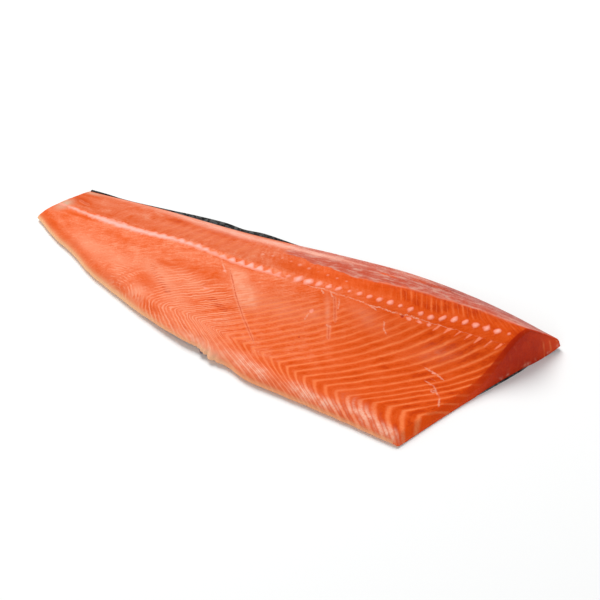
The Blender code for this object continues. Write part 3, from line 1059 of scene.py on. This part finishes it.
def skin_material():
    g = Graph("scaled_skin")
    where = g.place()
    height = g.field("height")
    mottle = g.noise(where, 60.0, 4.0, 0.6)
    # Scales lie in rows, a little wider than long, and each shades towards its free edge.
    lattice = g.stretch(where, (1.0, 1.25, 1.0))
    centre = g.cells(lattice, 260.0)
    wall = g.cells(lattice, 260.0, "DISTANCE_TO_EDGE")["Distance"]
    colour = g.ramp(g.math("ADD", height, g.around(mottle, 0.22)), SKIN_BY_HEIGHT)
    sheen = g.part_of(centre["Color"], 0)
    colour = g.mix(g.step(sheen, 0.0, 1.0, 0.0, 0.30), colour, tint(150, 156, 156))
    colour = g.mix(g.math("MULTIPLY", g.step(height, 0.75, 0.5, 0.0, 1.0), g.step(sheen, 0.4, 1.0, 0.0, 0.25)), colour, tint(226, 226, 220))
    colour = g.mix(g.step(wall, 0.10, 0.02, 0.0, 0.55), colour, SCALE_EDGE)
    spot = g.cells(g.stretch(where, (1.0, 0.9, 1.0)), 42.0)
    chosen = g.math("MULTIPLY", g.step(g.part_of(spot["Color"], 1), 0.55, 0.60), g.step(height, 0.42, 0.60))
    spots = g.math("MULTIPLY", g.step(g.total(spot["Distance"], g.around(mottle, 0.4)), 0.24, 0.14), chosen)
    colour = g.mix(g.math("MULTIPLY", spots, 0.9), colour, SKIN_SPOT)
    lateral = g.step(g.math("ABSOLUTE", g.field("lateral")), 0.8, 0.3, 0.0, 0.7)
    colour = g.mix(lateral, colour, SKIN_SPOT)
    colour = g.mix(g.step(height, -0.010, -0.026), colour, TONGUE)
    g.set(Base_Color=colour, Roughness=g.step(mottle, 0.3, 0.7, 0.26, 0.42), Specular_IOR_Level=0.30, Coat_Weight=0.0)
    raised = g.total(g.step(wall, 0.0, 0.16), g.math("MULTIPLY", mottle, 0.4))
    g.set(Normal=g.bump(raised, 0.0004, 0.8))
    return g.material


# ---- Pieces -----------------------------------------------------------------------------------------------

# The upper edge of the head cut has slumped: the rounding's radius at (t, metres), largest on the thin flap.
HEAD_ROUNDING = ((0.0, 0.0060), (0.35, 0.0060), (0.5, 0.0042), (0.75, 0.0032), (1.0, 0.0018))
HEAD_RUN = 0.474  # plan length of the belly edge, and how much longer the back edge is
HEAD_RUN_GROWTH = 0.064
CUT_DEPTH = ((0.0, 0.05), (0.3, 0.20), (0.5, 0.50), (0.62, 0.85), (0.85, 0.90), (0.97, 0.45), (1.0, 0.40))
CUT_RINGS = (-0.020, 0.018)  # y and height of the middle of the arcs on the head cut
CUT_RING_PITCH = 0.0052
# Shreds of belly membrane that hang out past the edge: (x, metres).
TATTER = ((-0.050, 0.0), (-0.034, 0.0014), (-0.021, 0.0050), (-0.010, 0.0040), (-0.002, 0.0008), (0.006, 0.0))
TATTER_REACH = 0.006
# The flesh hangs down past the skin's edge, and its belly edge leans in below.
LIP = 0.0012
UNDERCUT = 0.0018
TUCK = 0.0026
TUCK_SHARE = 0.0050
# How high the skin's free edge turns up beside the back edge of the tail, (s, metres).
TURNED_UP = ((0.0, 0.0034), (0.08, 0.0028), (0.14, 0.0012), (0.2, 0.0))


def slumped(s, t, bottom, upper):
    """The upper face's height with the head cut's edge rounded over, and how far round the edge a point is."""
    radius = along(HEAD_ROUNDING, t)
    back_from_edge = (1 - s) * (HEAD_RUN + HEAD_RUN_GROWTH * t)
    turn = np.clip(1 - back_from_edge / radius, 0, 1)
    drop = np.minimum(radius, (upper - bottom) * 0.80) * (1 - np.cos(turn * math.pi / 2))
    return upper - drop, turn


def shredded(points, belly_far, lift=1.0):
    """Points with the ragged belly edge pushed outwards at its top, where lift is 1, and drawn in below."""
    x = points[..., 0]
    reach = along(TATTER, x) * (1 + 0.5 * noise(x, x * 0, 0.0025, 51)) + 0.0007 + 0.0003 * noise(x, x * 0, 0.009, 52)
    out = (reach * lift - UNDERCUT * (1 - lift)) * np.clip(1 - belly_far / TATTER_REACH, 0, 1)
    return points + out[..., None] * np.array([-0.35, -0.94, 0.0])


def face_fields(points, t, bottom):
    """Fields on the face of the head cut, which shows rings of connective tissue round the thick of the loin."""
    x, y, z = points[..., 0], points[..., 1], points[..., 2]
    fields = flesh_fields(x, y, np.full(x.shape, 0.03), np.full(x.shape, 0.03))
    plain = ("double", "fine", "arc_gain", "haze_and_sheen", "flank", "grey", "rim", "edge", "far", "shade", "ladder")
    fields.update({name: np.zeros(x.shape) for name in plain})
    fields.update({name: np.full(x.shape, -2.0) for name in ("spots", "blood")})
    fields.update({name: np.full(x.shape, 60.0) for name in ("pin", "crease", "scratch")})
    fields.update({name: np.full(x.shape, -12.0) for name in ("pale", "dash")})
    ring = np.hypot((y - CUT_RINGS[0]) * 0.75, (z - CUT_RINGS[1]) * 0.5)
    on_flap = np.broadcast_to(fade(t, 0.40, 0.28), x.shape)
    rings = ring / CUT_RING_PITCH + 0.12 * noise(y, z, 0.008, 61)
    fields["septa"] = np.where(on_flap > 0, fields["septa"], rings)
    shown = (0.6 + 3.0 * fade(t, 0.84, 0.93)) * fade(t, 0.55, 0.75) * fade(noise(y, z, 0.006, 63), -0.2, 0.6)
    fields["gain"] = np.where(on_flap > 0, fields["gain"] * on_flap, shown)
    fields["broad"] = np.ones(x.shape)
    flecks = fade(noise(y, z, 0.0035, 62), 0.1, 0.5) * near(z - bottom, 0.0020, 0.0020) * fade(t, 0.5, 0.7)
    fields["fat"] = fields["fat"] * on_flap + 0.5 * flecks
    fields["cut"] = np.ones(x.shape)
    fields["cut_depth"] = np.broadcast_to(along(CUT_DEPTH, t), x.shape)
    return fields


def make_flesh():
    shell, store = Shell(), {}

    def add(points, fields):
        for name, values in fields.items():
            store.setdefault(name, []).append(np.ravel(values))
        return shell.add(points)

    s = crowded(FLESH_STATIONS, 0.1)[:, None]
    t = crowded(FLESH_ACROSS, 0.3)[None, :]
    bottom, upper = flesh_heights(s, t)
    upper, turn = slumped(s, t, bottom, upper)
    grid = place(s, t, upper)
    belly_far, back_far = edge_distances(s, t)
    fields = flesh_fields(grid[..., 0], grid[..., 1], belly_far, back_far)
    fields["cut"] = fade(turn, -0.10, 0.45)
    fields["cut_depth"] = np.broadcast_to(along(CUT_DEPTH, t), turn.shape)
    relief = flesh_relief(grid[..., 0], grid[..., 1], fields, belly_far, back_far) * (1 - turn)
    grid = shredded(grid + normals_of(grid) * relief[..., None], belly_far)
    top = add(grid, fields)
    shell.patch(top)
    walls = []
    for column, edge in ((0, 0.0), (-1, 1.0)):
        shares = np.linspace(1, 0, WALL_ROWS + 1)[1:]
        hanging = fade(s, 0.0, 0.02) if column == 0 else fade(s, 0.985, 1.0)
        lowest_z = bottom[:, column, None] - LIP * hanging
        z = lowest_z + (upper[:, column, None] - lowest_z) * shares
        points = place(s, np.full_like(z, edge), z)
        far = np.zeros(z.shape)
        fields = flesh_fields(points[..., 0], points[..., 1], far + 0.03 * edge, far + 0.03 * (1 - edge))
        below = add(shredded(points, far + edge, shares), fields | {"cut_depth": far + 0.5})
        side = np.concatenate([top[:, column, None], below], 1)
        shell.patch(side)
        walls.append(side)
    lowest = []
    for end, rows in ((0, TAIL_ROWS), (-1, HEAD_ROWS)):
        high, inner_t = upper[end, 1:-1], t[:, 1:-1]
        lip = fade(inner_t[0], 0.55, 0.45) + fade(inner_t[0], 0.76, 0.84)
        low = bottom[end, 1:-1] + end * LIP * lip

        def points_at(shares):
            z = low + (high - low) * shares[:, None]
            points = place(np.full_like(z, s[end, 0]), np.broadcast_to(inner_t, z.shape), z)
            return shredded(points, inner_t * width_of(s[end, 0]), shares[:, None])

        def add_face(points):
            if end:
                return add(points, face_fields(points, inner_t, low))
            far = np.full(points.shape[:-1], 0.03)
            return add(points, flesh_fields(points[..., 0], points[..., 1], far, far) | {"cut_depth": far})

        lowest.append(end_face(shell, top[end], walls[0][end], walls[1][end], rows, points_at, add_face))

    def add_below(s, t):
        points = place(s, t, flesh_heights(s, t)[0])
        far = np.full(points.shape[:-1], 0.03)
        return add(points, flesh_fields(points[..., 0], points[..., 1], far, far) | {"cut_depth": far})

    # A ring just inside the lowest edge, then the underside within it.
    boundary = (walls[0][:, -1], lowest[1], walls[1][::-1, -1], lowest[0][::-1])
    along_s, along_t = s[:, 0], t[0]
    sides = ((along_s, 0 * along_s), (0 * along_t + 1, along_t), (along_s[::-1], 0 * along_s + 1), (0 * along_t, along_t[::-1]))
    ring_s, ring_t = (np.concatenate([side[part][:-1] for side in sides]) for part in (0, 1))
    ring_s = TUCK_SHARE + (1 - 2 * TUCK_SHARE) * ring_s
    inset = TUCK / width_of(ring_s)
    ring = add_below(ring_s, inset + (1 - 2 * inset) * ring_t)
    ring = np.append(ring, ring[0])
    edge = np.concatenate([row[:-1] for row in boundary] + [boundary[0][:1]])
    shell.patch(np.stack([edge, ring], 0))
    ends = np.cumsum([0] + [len(row) - 1 for row in boundary])
    ring_rows = [ring[a : b + 1] for a, b in zip(ends, ends[1:])]
    inner = add_below(np.linspace(0.02, 0.98, 41)[:, None], np.linspace(0.07, 0.93, 13)[None, :])
    close_below(shell, ring_rows, inner)
    return shell, {name: np.concatenate(values) for name, values in store.items()}


def make_skin():
    shell = Shell()
    s = np.linspace(0, 1, SKIN_STATIONS + 1)[:, None]
    width = width_of(s)
    first, last = -along(BELLY_OVERHANG, s) / width, 1 + along(BACK_OVERHANG, s) / width
    t = first + (last - first) * crowded(SKIN_ACROSS, 0.5)[None, :]
    low = underside(s, t * width, (1 - t) * width) + along(TURNED_UP, s) * fade((t - 1) * width, 0.0002, 0.0022)
    past_head = along(HEAD_OVERHANG, t)
    outer = shell.add(place(s, t, low, past_head, TAIL_OVERHANG))
    inner = shell.add(place(s, t, low + SKIN_THICKNESS, past_head, TAIL_OVERHANG))
    shell.patch(outer)
    shell.patch(inner)
    for edge in (np.s_[0, :], np.s_[-1, :], np.s_[:, 0], np.s_[:, -1]):
        shell.patch(np.stack([outer[edge], inner[edge]], 0))
    lateral = (t - along(LATERAL_T, s)) * width * 1000.0
    fields = {"height": np.tile(np.ravel(t), 2), "lateral": np.tile(np.ravel(lateral), 2)}
    return shell, fields


def carry(piece, node):
    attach(piece, "root")
    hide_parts(node)


def build():
    (flesh, flesh_values), (skin, skin_values) = make_flesh(), make_skin()
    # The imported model's head corner, back edge and underside set where the shape goes.
    past_back = along(BACK_OVERHANG, 1.0)
    corner_z = underside(1.0, width_of(1.0), -past_back)
    corner = place(1.0, 1.0 + past_back / width_of(1.0), corner_z, PACKED_HEAD_OVERHANG)
    low, high = skin.all_points().min(0), skin.all_points().max(0)
    shift = np.array([CAD_BOX[1][0] - corner[0], CAD_BOX[1][1] - high[1], CAD_BOX[0][2] - low[2]])
    piece = flesh.piece("salmon_flesh", flesh.all_points() + shift, flesh_values)
    piece.data.materials.append(flesh_material())
    carry(piece, "flesh")
    piece = skin.piece("salmon_skin", skin.all_points() + shift, skin_values)
    piece.data.materials.append(skin_material())
    carry(piece, "skin")


# ---- Floor, light and camera ------------------------------------------------------------------------------

CAMERA_TARGET = Vector((0.0285, 0.0356, 0.0))
CAMERA_AZIMUTH = math.radians(26.1)
CAMERA_ELEVATION = math.radians(42.0)
CAMERA_DISTANCE = 1.2
LENS = 72.06
SENSOR = 36.0


def make_stage():
    mesh = bmesh.new()
    bmesh.ops.create_grid(mesh, x_segments=1, y_segments=1, size=6.0)
    data = bpy.data.meshes.new("floor")
    mesh.to_mesh(data)
    mesh.free()
    floor = bpy.data.objects.new("floor", data)
    bpy.context.scene.collection.objects.link(floor)
    g = Graph("white_floor")
    g.set(Base_Color=(0.91, 0.91, 0.91, 1.0), Roughness=0.9, Specular_IOR_Level=0.0)
    data.materials.append(g.material)


def area_light(name, position, size, power, colour, target=(0.0, 0.0, 0.0)):
    data = bpy.data.lights.new(name, "AREA")
    data.shape = "DISK"
    data.size = size
    data.energy = power
    data.color = colour
    light = bpy.data.objects.new(name, data)
    light.location = position
    light.rotation_euler = (Vector(target) - Vector(position)).to_track_quat("-Z", "Y").to_euler()
    light.visible_glossy = False
    bpy.context.scene.collection.objects.link(light)


def make_lights():
    world = bpy.data.worlds.new("studio")
    world.use_nodes = True
    world.node_tree.nodes["Background"].inputs["Color"].default_value = (0.97, 1.0, 1.01, 1.0)
    world.node_tree.nodes["Background"].inputs["Strength"].default_value = 0.43
    bpy.context.scene.world = world
    area_light("key", (-1.6, 1.7, 2.8), 2.3, 129.0, (1.0, 0.99, 0.98))
    area_light("fill", (0.4, -3.6, 1.3), 2.6, 34.0, (1.0, 1.0, 1.0))


def make_camera():
    data = bpy.data.cameras.new("camera")
    data.lens = LENS
    data.sensor_width = SENSOR
    camera = bpy.data.objects.new("camera", data)
    a, e = CAMERA_AZIMUTH, CAMERA_ELEVATION
    back = Vector((math.sin(a) * math.cos(e), -math.cos(a) * math.cos(e), math.sin(e)))
    camera.location = CAMERA_TARGET + CAMERA_DISTANCE * back
    camera.rotation_euler = back.to_track_quat("Z", "Y").to_euler()
    bpy.context.scene.collection.objects.link(camera)
    bpy.context.scene.camera = camera


def main():
    make_camera()
    make_stage()
    make_lights()
    build()
    bpy.context.scene.view_settings.view_transform = "Standard"


main()
